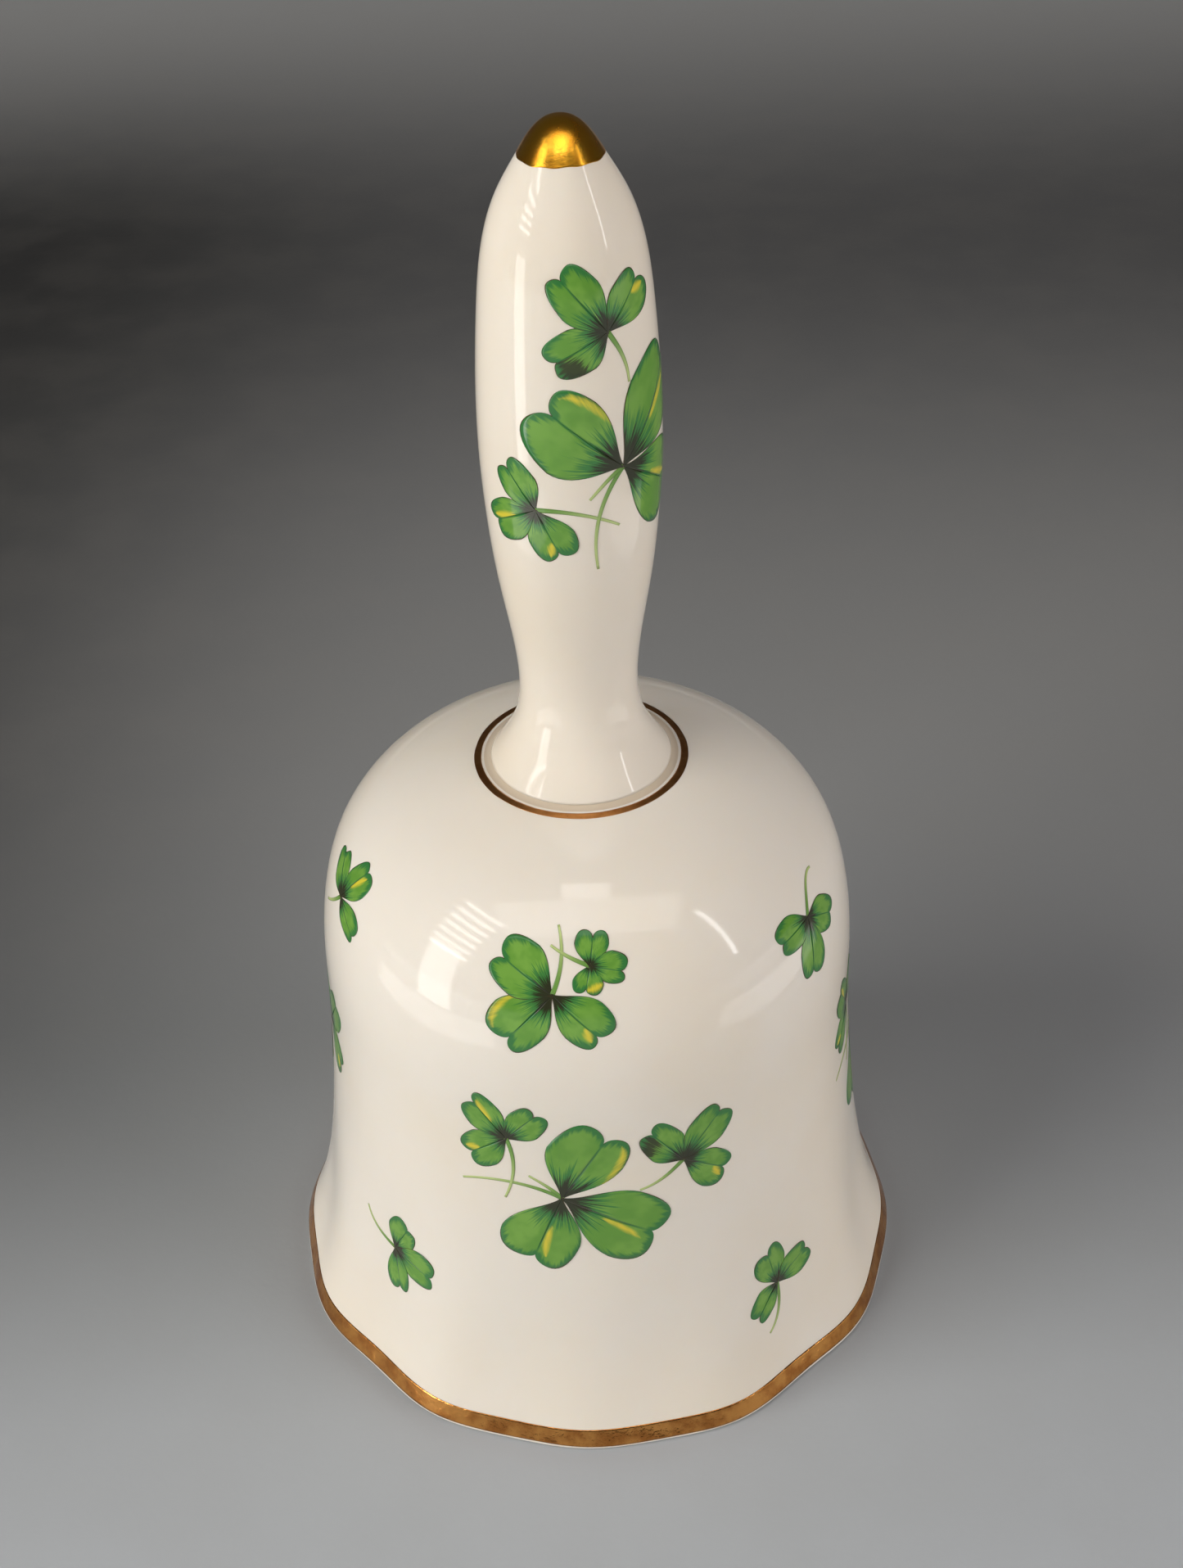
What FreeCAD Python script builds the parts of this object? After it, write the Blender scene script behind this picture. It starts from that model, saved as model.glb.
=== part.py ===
import FreeCAD, Part
import math
import os

# Porcelain hand bell: a fluted china bell with a hollow china handle cemented on its crown, and a china
# bead hung inside it as the clapper, on a brass wire and one brass link. Millimetres. The bell stands on
# its rim at Z = 0, its axis is +Z, and its front is towards -Y.

Vector = FreeCAD.Vector
UP = Vector(0, 0, 1)

# Bell body: its outside outline as (radius, height), from the rim up to the seat of the handle.
BODY_OUTLINE = [(36.3, 0.0), (34.4, 4.7), (32.6, 11.2), (31.2, 20.2), (30.1, 31.7), (29.55, 43.2),
                (29.4, 49.5), (28.8, 54.5), (27.2, 60.0), (23.9, 64.8), (19.75, 68.0), (15.6, 69.85),
                (11.4, 70.98), (10.4, 71.12)]
RIM_WALL = 1.7                  # thickness of the china at the rim
CROWN_WALL = 2.4                # and at the crown
CROWN_HOLE_RADIUS = 3.5
RING_COUNT = 24                 # cross-sections that the wall is lofted through
RING_POINTS = 72                # points round each cross-section, six to a flute

# Flutes: twelve shallow ones round the rim, deeper every quarter turn, deepest just above it, that fade
# out up the wall.
FLUTE_TURN = math.radians(-3.5) # angle of a flute's crest from the front, towards +X
FLUTE_FADE_HEIGHT = 30.0
FLUTE_SWELL = 0.15              # how fast they deepen at first, per millimetre of height
FLUTE_WAVES = {12: 0.26, 8: -0.19, 4: 0.07}     # waves round the rim, and how far each stands out

# Handle: its outside outline as (radius, height), from its foot up to its tip.
HANDLE_OUTLINE = [(9.6, 71.37), (8.33, 73.35), (6.84, 76.2), (6.18, 79.9), (6.58, 86.4), (7.72, 93.6),
                  (8.51, 100.8), (8.9, 109.0), (8.33, 122.4), (6.09, 133.2), (3.95, 137.0), (2.62, 139.0),
                  (1.35, 140.08)]
HANDLE_TIP = 140.4
HANDLE_WALL = 2.2
OFFSET_POINTS = 40              # points used to offset the outline by the wall's thickness
CAVITY_TRIM = 0.9               # height left free at the cavity's ends, where the offset would fold

# Cement bead that the handle's foot is bedded in.
BEAD_RADIUS = 10.35
BEAD_HOLLOW = 0.05              # how far its face is hollowed

# Plaster plug that fills the crown's hole and the foot of the handle, and holds the staple.
PLUG_TOP = 86.0
PLUG_MOUND_RADIUS = 5.8         # the plaster left standing under the crown
PLUG_MOUND_DROP = 1.5
PLUG_MOUND_SHOULDER = (0.72, 0.6)   # a point on the mound, as shares of its radius and its drop

# Staple: a U of wire, with its bar along X.
STAPLE_WIRE = 0.8               # radius of the wire
STAPLE_HALF_WIDTH = 2.4
STAPLE_BEND = 1.5
STAPLE_BAR_HEIGHT = 63.0
STAPLE_LEG_TOP = 82.0

# Link: a closed rounded rectangle of wire in the YZ plane, hung on the staple's bar.
LINK_WIRE = 0.7
LINK_HALF_WIDTH = 2.3
LINK_BEND = 1.4
LINK_DROP = 5.4                 # from the staple's bar down to the link's lower bar
WIRE_GAP = 0.05                 # clearance between two wires that hang in each other

# Clapper: a wire bent into an eye at the top, through a china bead, with a peened button below.
CLAPPER_WIRE = 0.75
NECK_BEND = 1.5
EYE_END = math.radians(225)     # where the bent wire stops, round the eye from +X
BALL_RADIUS = 7.0
BALL_HEIGHT = 17.0
BALL_BORE_GAP = 0.05
BUTTON_RADIUS = 1.7
BUTTON_THICKNESS = 0.9
BUTTON_ROUNDING = 0.4

BODY_SEAT = BODY_OUTLINE[-1][1]
HANDLE_FOOT = HANDLE_OUTLINE[0][1]
EYE_HEIGHT = STAPLE_BAR_HEIGHT - LINK_DROP


def spline(points):
    """A smooth curve through (radius, height) points in the XZ plane."""
    curve = Part.BSplineCurve()
    curve.interpolate([Vector(radius, 0, height) for radius, height in points])
    return curve


def inward(curve, count, wall):
    """Points of the curve moved towards the inside, by wall(share of the way along the curve)."""
    points = []
    for step in range(count):
        share = step / (count - 1)
        place = curve.FirstParameter + share * (curve.LastParameter - curve.FirstParameter)
        point = curve.value(place)
        tangent = curve.tangent(place)[0]
        points.append((point.x - tangent.z * wall(share), point.z + tangent.x * wall(share)))
    return points


def revolved(edges):
    """The solid made by turning a closed outline in the XZ plane about Z."""
    face = Part.Face(Part.Wire(edges))
    return face.revolve(Vector(), UP, 360)


def line(start, end):
    return Part.makeLine(Vector(start[0], 0, start[1]), Vector(end[0], 0, end[1]))


def cylinder(radius, low, high):
    return Part.makeCylinder(radius, high - low, Vector(0, 0, low))


def flute(angle, height):
    """How far the wall stands out from its round outline, at an angle from the front towards +X."""
    up = max(0.0, height)
    strength = max(0.0, 1.0 - up / FLUTE_FADE_HEIGHT) ** 2 * (1.0 + FLUTE_SWELL * up)
    turned = angle - FLUTE_TURN
    return strength * sum(depth * math.cos(count * turned) for count, depth in FLUTE_WAVES.items())


def ring(radius, height):
    """One closed cross-section of the wall."""
    points = []
    for step in range(RING_POINTS):
        angle = 2 * math.pi * step / RING_POINTS
        reach = radius + flute(angle, height)
        points.append(Vector(reach * math.sin(angle), -reach * math.cos(angle), height))
    curve = Part.BSplineCurve()
    curve.interpolate(points, PeriodicFlag=True)
    return Part.Wire(curve.toShape())


def fluted_solid(points):
    return Part.makeLoft([ring(radius, height) for radius, height in points], True)


def bell_body():
    """The china shell, and the height of the ceiling inside it."""
    outline = spline(BODY_OUTLINE)
    outside = inward(outline, RING_COUNT, lambda share: 0.0)
    inside = inward(outline, RING_COUNT, lambda share: RIM_WALL + share * (CROWN_WALL - RIM_WALL))
    ceiling = inside[-1][1]
    hole = cylinder(CROWN_HOLE_RADIUS, ceiling - 1, BODY_SEAT + 1)
    return fluted_solid(outside).cut(fluted_solid(inside)).cut(hole), ceiling


def handle_outline():
    """The outside of the handle. It is drawn on past the tip, so that it meets the axis squarely."""
    beyond = [(-radius, height) for radius, height in reversed(HANDLE_OUTLINE[-3:])]
    curve = spline(HANDLE_OUTLINE + [(0.0, HANDLE_TIP)] + beyond)
    curve.segment(curve.FirstParameter, curve.parameter(Vector(0, 0, HANDLE_TIP)))
    return curve


def handle_cavity(outline):
    """The hollow of the handle, open at its foot."""
    points = inward(outline, OFFSET_POINTS, lambda share: HANDLE_WALL)
    top = (0.0, HANDLE_TIP - HANDLE_WALL)
    inside = [point for point in points if HANDLE_FOOT + CAVITY_TRIM < point[1] < top[1] - CAVITY_TRIM]
    foot = (inside[0][0] + CAVITY_TRIM / 2, HANDLE_FOOT)
    wall = spline([foot] + inside + [top]).toShape()
    return revolved([wall, line(top, (0, HANDLE_FOOT)), line((0, HANDLE_FOOT), foot)]), foot[0]


def wire_solid(edges, radius):
    """A round wire swept along tangent edges."""
    path = Part.Wire(edges)
    first = path.OrderedEdges[0]
    start = first.valueAt(first.FirstParameter)
    direction = first.tangentAt(first.FirstParameter)
    section = Part.Wire(Part.makeCircle(radius, start, direction))
    return path.makePipeShell([section], True, False)


def arc(centre, radius, start, end, place):
    """An arc from one angle to another, through the angle half way, on a plane given by place(u, v)."""
    points = []
    for angle in (start, (start + end) / 2, end):
        points.append(place(centre[0] + radius * math.cos(angle), centre[1] + radius * math.sin(angle)))
    return Part.Arc(*points).toShape()


def on_xz(across, height):
    return Vector(across, 0, height)


def on_yz(across, height):
    return Vector(0, across, height)


def segment(start, end, place):
    return Part.makeLine(place(*start), place(*end))


def staple():
    """The brass U, its legs up into the plug and its bar below."""
    side = STAPLE_HALF_WIDTH
    flat = side - STAPLE_BEND
    bar = STAPLE_BAR_HEIGHT
    bend_top = bar + STAPLE_BEND
    edges = [
        segment((-side, STAPLE_LEG_TOP), (-side, bend_top), on_xz),
        arc((-flat, bend_top), STAPLE_BEND, math.pi, 1.5 * math.pi, on_xz),
        segment((-flat, bar), (flat, bar), on_xz),
        arc((flat, bend_top), STAPLE_BEND, 1.5 * math.pi, 2 * math.pi, on_xz),
        segment((side, bend_top), (side, STAPLE_LEG_TOP), on_xz)]
    return wire_solid(edges, STAPLE_WIRE)


def link():
    """The closed link: its upper bar rides on the staple's bar, and its lower bar carries the clapper."""
    side = LINK_HALF_WIDTH
    flat = side - LINK_BEND
    top = STAPLE_BAR_HEIGHT + STAPLE_WIRE + WIRE_GAP + LINK_WIRE
    corners = [((flat, top - LINK_BEND), 0.0), ((-flat, top - LINK_BEND), 0.5 * math.pi),
               ((-flat, EYE_HEIGHT + LINK_BEND), math.pi), ((flat, EYE_HEIGHT + LINK_BEND), 1.5 * math.pi)]
    bends = [arc(centre, LINK_BEND, turn, turn + 0.5 * math.pi, on_yz) for centre, turn in corners]
    edges = []
    for index, bend in enumerate(bends):
        following = bends[(index + 1) % len(bends)]
        edges += [bend, Part.makeLine(bend.valueAt(bend.LastParameter),
                                      following.valueAt(following.FirstParameter))]
    middle = edges[1]
    start = (middle.Vertexes[0].Point + middle.Vertexes[1].Point) / 2
    first_half = Part.makeLine(start, middle.Vertexes[1].Point)
    last_half = Part.makeLine(middle.Vertexes[0].Point, start)
    return wire_solid([first_half] + edges[2:] + [edges[0], last_half], LINK_WIRE)


def clapper_wire():
    """The wire that the bead hangs on: an eye round the link's lower bar, a shank, and a button."""
    eye = LINK_WIRE + WIRE_GAP + CLAPPER_WIRE
    neck_drop = math.sqrt(2 * NECK_BEND * eye + eye * eye)
    neck = EYE_HEIGHT - neck_drop
    meeting = math.atan2(neck_drop, -NECK_BEND)
    button_top = BALL_HEIGHT - math.sqrt(BALL_RADIUS ** 2 - BUTTON_RADIUS ** 2)
    edges = [
        segment((0, button_top - BUTTON_THICKNESS / 2), (0, neck), on_xz),
        arc((NECK_BEND, neck), NECK_BEND, math.pi, meeting, on_xz),
        arc((0, EYE_HEIGHT), eye, meeting - math.pi, EYE_END, on_xz)]
    button = cylinder(BUTTON_RADIUS, button_top - BUTTON_THICKNESS, button_top)
    low_edges = [edge for edge in button.Edges if edge.BoundBox.ZMax < button_top - BUTTON_THICKNESS / 2]
    rounded = button.makeFillet(BUTTON_ROUNDING, low_edges)
    return wire_solid(edges, CLAPPER_WIRE).fuse(rounded).removeSplitter(), button_top


def clapper_ball(button_top):
    """The china bead, flat where it sits on the button."""
    ball = Part.makeSphere(BALL_RADIUS, Vector(0, 0, BALL_HEIGHT))
    low = BALL_HEIGHT - 2 * BALL_RADIUS
    high = BALL_HEIGHT + 2 * BALL_RADIUS
    below = cylinder(BALL_RADIUS, low, button_top)
    bore = cylinder(CLAPPER_WIRE + BALL_BORE_GAP, low, high)
    return ball.cut(below).cut(bore)


def foot_bead(inner_radius):
    """The fillet of cement round the handle's foot."""
    foot = HANDLE_OUTLINE[0][0]
    hollow = Vector((foot + BEAD_RADIUS) / 2, 0, (BODY_SEAT + HANDLE_FOOT) / 2 - BEAD_HOLLOW)
    fillet = Part.Arc(Vector(BEAD_RADIUS, 0, BODY_SEAT), hollow, Vector(foot, 0, HANDLE_FOOT)).toShape()
    return revolved([
        line((inner_radius, BODY_SEAT), (BEAD_RADIUS, BODY_SEAT)), fillet,
        line((foot, HANDLE_FOOT), (inner_radius, HANDLE_FOOT)),
        line((inner_radius, HANDLE_FOOT), (inner_radius, BODY_SEAT))])


def plug(cavity, bead_inner_radius, ceiling, wire):
    """The plaster set in the crown's hole and the foot of the handle, round the staple's legs."""
    mound_low = ceiling - PLUG_MOUND_DROP
    mound_edge = (PLUG_MOUND_RADIUS, ceiling)
    across, down = PLUG_MOUND_SHOULDER
    shoulder = Vector(PLUG_MOUND_RADIUS * across, 0, ceiling - PLUG_MOUND_DROP * down)
    dome = Part.Arc(Vector(0, 0, mound_low), shoulder, Vector(PLUG_MOUND_RADIUS, 0, ceiling)).toShape()
    mound = revolved([dome, line(mound_edge, (0, ceiling)), line((0, ceiling), (0, mound_low))])
    solid = cavity.common(cylinder(HANDLE_OUTLINE[0][0], HANDLE_FOOT, PLUG_TOP))
    through_bead = cylinder(bead_inner_radius, BODY_SEAT, HANDLE_FOOT)
    through_crown = cylinder(CROWN_HOLE_RADIUS, ceiling, BODY_SEAT)
    for piece in (through_bead, through_crown, mound):
        solid = solid.fuse(piece)
    return solid.cut(wire)


def handle(outline, cavity):
    """The china handle, hollow and open at its foot."""
    axis = line((0, HANDLE_TIP), (0, HANDLE_FOOT))
    foot = line((0, HANDLE_FOOT), HANDLE_OUTLINE[0])
    return revolved([outline.toShape(), axis, foot]).cut(cavity)


def main():
    os.makedirs("parts", exist_ok=True)
    grip_outline = handle_outline()
    cavity, cavity_foot = handle_cavity(grip_outline)
    shell, ceiling = bell_body()
    brass_staple = staple()
    shank, button_top = clapper_wire()
    pieces = {
        "bell_body": shell,
        "handle": handle(grip_outline, cavity),
        "foot_bead": foot_bead(cavity_foot),
        "crown_plug": plug(cavity, cavity_foot, ceiling, brass_staple),
        "hanger_staple": brass_staple,
        "hanger_link": link(),
        "clapper_wire": shank,
        "clapper_ball": clapper_ball(button_top),
    }
    for name, shape in pieces.items():
        solid = shape.Solids[0]
        box = solid.optimalBoundingBox()
        print("%-14s solids %d valid %s volume %.1f  Z %.2f to %.2f  X %.2f to %.2f" % (
            name, len(shape.Solids), solid.isValid(), solid.Volume, box.ZMin, box.ZMax, box.XMin, box.XMax))
        solid.exportStep("parts/" + name + ".step")


main()
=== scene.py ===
"""Looks for the porcelain hand bell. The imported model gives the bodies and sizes; this script rebuilds the
two china shells as fine meshes, adds the gilding and the fired leaf prints, and gives every piece its
material. Lengths are written in millimetres and become metres in the meshes. The stage, the lights and the
materials' patterns are in metres."""
import math
import random

import bpy
import numpy as np
from mathutils import Matrix, Vector


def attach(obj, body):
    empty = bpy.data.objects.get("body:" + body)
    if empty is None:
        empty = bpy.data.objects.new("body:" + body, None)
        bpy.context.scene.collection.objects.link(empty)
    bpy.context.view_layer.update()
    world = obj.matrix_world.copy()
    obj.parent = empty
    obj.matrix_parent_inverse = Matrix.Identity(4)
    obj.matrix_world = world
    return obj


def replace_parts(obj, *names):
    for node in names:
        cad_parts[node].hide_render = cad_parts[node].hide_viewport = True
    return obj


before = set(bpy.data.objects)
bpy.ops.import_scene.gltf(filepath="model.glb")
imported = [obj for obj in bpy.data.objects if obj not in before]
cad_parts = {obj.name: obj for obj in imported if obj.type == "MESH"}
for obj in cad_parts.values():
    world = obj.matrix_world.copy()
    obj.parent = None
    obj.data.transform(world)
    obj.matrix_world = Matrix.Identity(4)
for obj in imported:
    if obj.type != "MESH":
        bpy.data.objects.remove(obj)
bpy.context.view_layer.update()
MM = 0.001
random.seed(12)

# ---------------------------------------------------------------- outlines, the same as the CAD model's
BODY_OUTLINE = [(36.3, 0.0), (34.4, 4.7), (32.6, 11.2), (31.2, 20.2), (30.1, 31.7), (29.55, 43.2),
                (29.4, 49.5), (28.8, 54.5), (27.2, 60.0), (23.9, 64.8), (19.75, 68.0), (15.6, 69.85),
                (11.4, 70.98), (10.4, 71.12)]
RIM_WALL, CROWN_WALL = 1.7, 2.4
CROWN_HOLE_RADIUS = 3.5
FLUTE_TURN = math.radians(-3.5)
FLUTE_FADE_HEIGHT = 30.0
FLUTE_SWELL = 0.15
FLUTE_WAVES = {12: 0.26, 8: -0.19, 4: 0.07}     # waves round the rim, and how deep each is
SEAT_RADII = (8.0, 5.5)         # rings on the flat seat, inside the outline's end
HOLE_HEIGHTS = (70.4, 69.6)     # rings down the crown's hole
CEILING_RADII = (5.0, 7.0, 9.0)
RIM_POWERS = (0.8, 0.7)         # across and down: with 1 and 1 the rim's edge would be a half ellipse

HANDLE_OUTLINE = [(9.6, 71.37), (8.33, 73.35), (6.84, 76.2), (6.18, 79.9), (6.58, 86.4), (7.72, 93.6),
                  (8.51, 100.8), (8.9, 109.0), (8.33, 122.4), (6.09, 133.2), (3.95, 137.0), (2.62, 139.0),
                  (1.35, 140.08)]
HANDLE_TIP = 140.4
HANDLE_WALL = 2.2
CAVITY_TRIM = 0.9               # height left free at the cavity's ends, where the offset would fold
CAVITY_FLARE = 0.45             # how much wider the cavity is at the handle's foot

# ---------------------------------------------------------------- gilding and prints
RIM_ROUNDING = 0.5              # the unglazed edge below the gilt line, as a distance up the wall
RIM_GILT = (0.62, 2.75)         # the rim's gilt line, as distances up the wall from the rim
CROWN_GILT = (11.4, 10.65)      # outer and inner radius of the gilt ring round the handle's foot
TIP_GILT_START = 137.0          # height above which the handle's tip is gilt
GILT_LIFT = 0.03                # how far the gilt stands off the glaze
GILT_SINK = 0.02                # and how far the underside of a gilt line reaches below the glaze
TIP_GILT_THICKNESS = 0.02
RIM_WANDER, RING_WANDER = 0.07, 0.03                        # how far a brushed edge strays
BRUSH_WAVES = {5: 0.4, 12: 0.28, 19: 0.196, 26: 0.1372}     # waves round a brushed edge, and their shares
TIP_WAVES = {3: (0.06, 1.0), 11: (0.04, 0.0)}               # and round the tip's: (height, phase)
PRINT_LIFT = 0.025
STEM_LIFT = 0.015
LEAFLET_STEP = 0.004            # how much higher each next leaflet of a sprig lies

# ---------------------------------------------------------------- how finely the surfaces are divided
OUTLINE_POINTS = 3000
SLOPE_REACH = 0.1               # distance each way over which an outline's slope is measured
BODY_COLUMNS = 480              # points round the body and its gilt lines
HANDLE_COLUMNS = 240            # and round the handle and its tip
LOW_ROWS, HIGH_ROWS = 100, 150  # rows on the body's wall, up to LOW_WALL and above it
LOW_WALL, ROW_GAP = 30.0, 0.3
HANDLE_ROWS = 260
TIP_GAP = 0.15                  # from the handle's last row to the tip's pole
RIM_POINTS = 14
RIM_GILT_ROWS, RING_GILT_ROWS, TIP_GILT_ROWS = 10, 6, 60
LEAF_COLUMNS, STROKE_POINTS = 13, 13
STEM_ROWS, STEM_COLUMNS = 25, 5


class Outline:
    """A smooth curve through (radius, height) points, that is read by the distance along it."""

    def __init__(self, points, fluted=False):
        points = np.array(points, float)
        knots = np.concatenate([[0.0], np.cumsum(np.linalg.norm(np.diff(points, axis=0), axis=1))])
        bends = self._bends(points, knots)
        fine = np.linspace(0.0, knots[-1], OUTLINE_POINTS)
        at = np.clip(np.searchsorted(knots, fine, side="right") - 1, 0, len(knots) - 2)
        step = (knots[at + 1] - knots[at])[:, None]
        after = (fine - knots[at])[:, None] / step
        before = 1.0 - after
        bow = (before ** 3 - before) * bends[at] + (after ** 3 - after) * bends[at + 1]
        curve = before * points[at] + after * points[at + 1] + bow * step ** 2 / 6
        self.distance = np.concatenate([[0.0], np.cumsum(np.linalg.norm(np.diff(curve, axis=0), axis=1))])
        self.radius, self.height = curve.T
        self.fluted = fluted

    @staticmethod
    def _bends(points, knots):
        """Second derivatives of the natural cubic spline through the points."""
        count = len(points)
        gaps = np.diff(knots)
        slopes = np.diff(points, axis=0) / gaps[:, None]
        system = np.eye(count)
        wanted = np.zeros_like(points)
        for i in range(1, count - 1):
            system[i, i - 1:i + 2] = gaps[i - 1], 2 * (gaps[i - 1] + gaps[i]), gaps[i]
            wanted[i] = 6 * (slopes[i] - slopes[i - 1])
        return np.linalg.solve(system, wanted)

    def at(self, distance):
        """Radius, height, and the outward normal as (radial, vertical), at distances along the curve."""
        radius = np.interp(distance, self.distance, self.radius)
        height = np.interp(distance, self.distance, self.height)
        ahead = np.minimum(distance + SLOPE_REACH, self.distance[-1])
        behind = np.maximum(distance - SLOPE_REACH, 0.0)
        rise = np.interp(ahead, self.distance, self.height) - np.interp(behind, self.distance, self.height)
        run = np.interp(ahead, self.distance, self.radius) - np.interp(behind, self.distance, self.radius)
        size = np.maximum(np.hypot(rise, run), 1e-9)
        return radius, height, rise / size, -run / size

    def up_to(self, height):
        """The distance along the curve at which it reaches a height."""
        return float(np.interp(height, self.height, self.distance))

    def place(self, angle, distance, lift=0.0):
        """Points on the surface, in metres, at angles from the front towards +X, lifted off it."""
        radius, height, out, up = self.at(distance)
        if self.fluted:
            radius = radius + flute(angle, height)
        return turned_about_axis(angle, radius + lift * out, height + lift * up)


def turned_about_axis(angle, radius, height):
    """Points in metres, at angles from the front towards +X."""
    return np.stack([radius * np.sin(angle), -radius * np.cos(angle), height], axis=-1) * MM


def flute(angle, height):
    """How far the wall stands out from its round outline."""
    up = np.maximum(0.0, height)
    strength = np.maximum(0.0, 1.0 - up / FLUTE_FADE_HEIGHT) ** 2 * (1.0 + FLUTE_SWELL * up)
    waves = sum(depth * np.cos(count * (angle - FLUTE_TURN)) for count, depth in FLUTE_WAVES.items())
    return strength * waves


tip_beyond = [(-radius, height) for radius, height in reversed(HANDLE_OUTLINE[-3:])]
body_outline = Outline(BODY_OUTLINE, fluted=True)
handle_outline = Outline(HANDLE_OUTLINE + [(0.0, HANDLE_TIP)] + tip_beyond)
# the distance along the handle's outline at which it reaches the axis
HANDLE_LENGTH = float(handle_outline.distance[np.argmin(np.abs(handle_outline.radius))])


# ---------------------------------------------------------------- meshes
def mesh_object(name, points, faces, materials):
    """A smooth-shaded mesh object, linked to the scene."""
    mesh = bpy.data.meshes.new(name)
    mesh.from_pydata([tuple(point) for point in points], [], faces)
    mesh.polygons.foreach_set("use_smooth", [True] * len(mesh.polygons))
    for material in materials:
        mesh.materials.append(material)
    mesh.update()
    piece = bpy.data.objects.new(name, mesh)
    bpy.context.scene.collection.objects.link(piece)
    return piece


def grid_faces(rows, columns, wrap_rows=False, wrap_columns=False, first=0):
    """Faces of a grid of points that were listed row by row, closed on itself where it wraps."""
    faces = []
    for row in range(rows if wrap_rows else rows - 1):
        below = first + row * columns
        above = first + (row + 1) % rows * columns
        for column in range(columns if wrap_columns else columns - 1):
            beside = (column + 1) % columns
            faces.append((below + column, below + beside, above + beside, above + column))
    return faces


def around(columns):
    """Evenly spaced angles round the axis."""
    return np.linspace(0, 2 * math.pi, columns, endpoint=False)


def body_section():
    """One side of the shell cut through its axis: up the outside, over the seat, and down the inside."""
    total = body_outline.distance[-1]
    steps = np.concatenate([np.linspace(RIM_ROUNDING, LOW_WALL, LOW_ROWS),
                            np.linspace(LOW_WALL + ROW_GAP, total, HIGH_ROWS)])
    radius, height, out, up = body_outline.at(steps)
    wall = RIM_WALL + steps / total * (CROWN_WALL - RIM_WALL)
    outside = np.stack([radius, height], axis=-1)
    inside = np.stack([radius - wall * out, height - wall * up], axis=-1)[::-2]
    ceiling = inside[0, 1]
    inside = inside[inside[:, 1] > RIM_ROUNDING]
    seat = [(ring, BODY_OUTLINE[-1][1]) for ring in (*SEAT_RADII, CROWN_HOLE_RADIUS)]
    hole = [(CROWN_HOLE_RADIUS, level) for level in (*HOLE_HEIGHTS, ceiling)]
    under = [(ring, ceiling) for ring in CEILING_RADII]
    start, end = inside[-1], outside[0]
    middle = (start + end) / 2
    turns = np.linspace(0, math.pi, RIM_POINTS)[1:-1]
    half = (end - start) / 2
    across, down = RIM_POWERS
    rim = [(middle[0] - half[0] * math.copysign(abs(math.cos(turn)) ** across, math.cos(turn)),
            middle[1] * (1 - math.sin(turn) ** down)) for turn in turns]
    return np.array([*outside, *seat, *hole, *under, *inside, *rim])


def make_body():
    """The fluted shell, in place of the CAD body."""
    section = body_section()
    angles = around(BODY_COLUMNS)[None, :]
    radius, height = section[:, 0:1], section[:, 1:2]
    points = turned_about_axis(angles, radius + flute(angles, height), height + 0 * angles).reshape(-1, 3)
    faces = grid_faces(len(section), BODY_COLUMNS, wrap_rows=True, wrap_columns=True)
    piece = mesh_object("china_body", points, faces, [china("body_glaze", BODY_COLOUR, 3.0)])
    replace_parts(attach(piece, "bell"), "bell_body")


def make_handle():
    """The hollow handle, in place of the CAD one: from its tip down the outside, under the foot and up the
    hollow."""
    columns = HANDLE_COLUMNS
    steps = np.linspace(HANDLE_LENGTH - TIP_GAP, 0.0, HANDLE_ROWS)
    radius, height, out, up = handle_outline.at(steps)
    hollow = np.stack([radius - HANDLE_WALL * out, height - HANDLE_WALL * up], axis=-1)[::-3]
    foot = HANDLE_OUTLINE[0][1]
    ceiling = HANDLE_TIP - HANDLE_WALL
    hollow = hollow[(hollow[:, 1] > foot + CAVITY_TRIM) & (hollow[:, 1] < ceiling - CAVITY_TRIM)]
    mouth = [(hollow[0, 0] + CAVITY_FLARE, foot)]
    section = np.array([*np.stack([radius, height], axis=-1), *mouth, *hollow])
    angles = around(columns)[None, :]
    level = section[:, 1:2] + 0 * angles
    points = turned_about_axis(angles, section[:, 0:1], level).reshape(-1, 3)
    faces = grid_faces(len(section), columns, wrap_columns=True)
    poles = np.array([(0, 0, HANDLE_TIP), (0, 0, ceiling)]) * MM
    top, inner = len(points), len(points) + 1
    last = (len(section) - 1) * columns
    for column in range(columns):
        beside = (column + 1) % columns
        faces.append((top, beside, column))
        faces.append((inner, last + column, last + beside))
    piece = mesh_object("china_handle", np.concatenate([points, poles]), [face[::-1] for face in faces],
                        [china("handle_glaze", HANDLE_COLOUR, 11.0)])
    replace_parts(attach(piece, "bell"), "handle")


def film(piece, thickness):
    """Gives a film its own thickness, towards the glaze."""
    shell = piece.modifiers.new("film", "SOLIDIFY")
    shell.thickness = thickness * MM
    shell.offset = -1.0


def gilt_band(name, low, high, wander, rows, material):
    """A painted gilt line round the body, whose two edges wander a little, as a brush leaves them."""
    angles = around(BODY_COLUMNS)
    edges = []
    for base in (low, high):
        shift = sum(share * np.sin(count * angles + random.uniform(0, 2 * math.pi))
                    for count, share in BRUSH_WAVES.items())
        edges.append(base + wander * shift)
    points = []
    for row in range(rows):
        share = row / (rows - 1)
        points.append(body_outline.place(angles, edges[0] * (1 - share) + edges[1] * share, GILT_LIFT))
    faces = grid_faces(rows, BODY_COLUMNS, wrap_columns=True)
    piece = mesh_object(name, np.concatenate(points), faces, [material])
    film(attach(piece, "bell"), GILT_LIFT + GILT_SINK)


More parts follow.
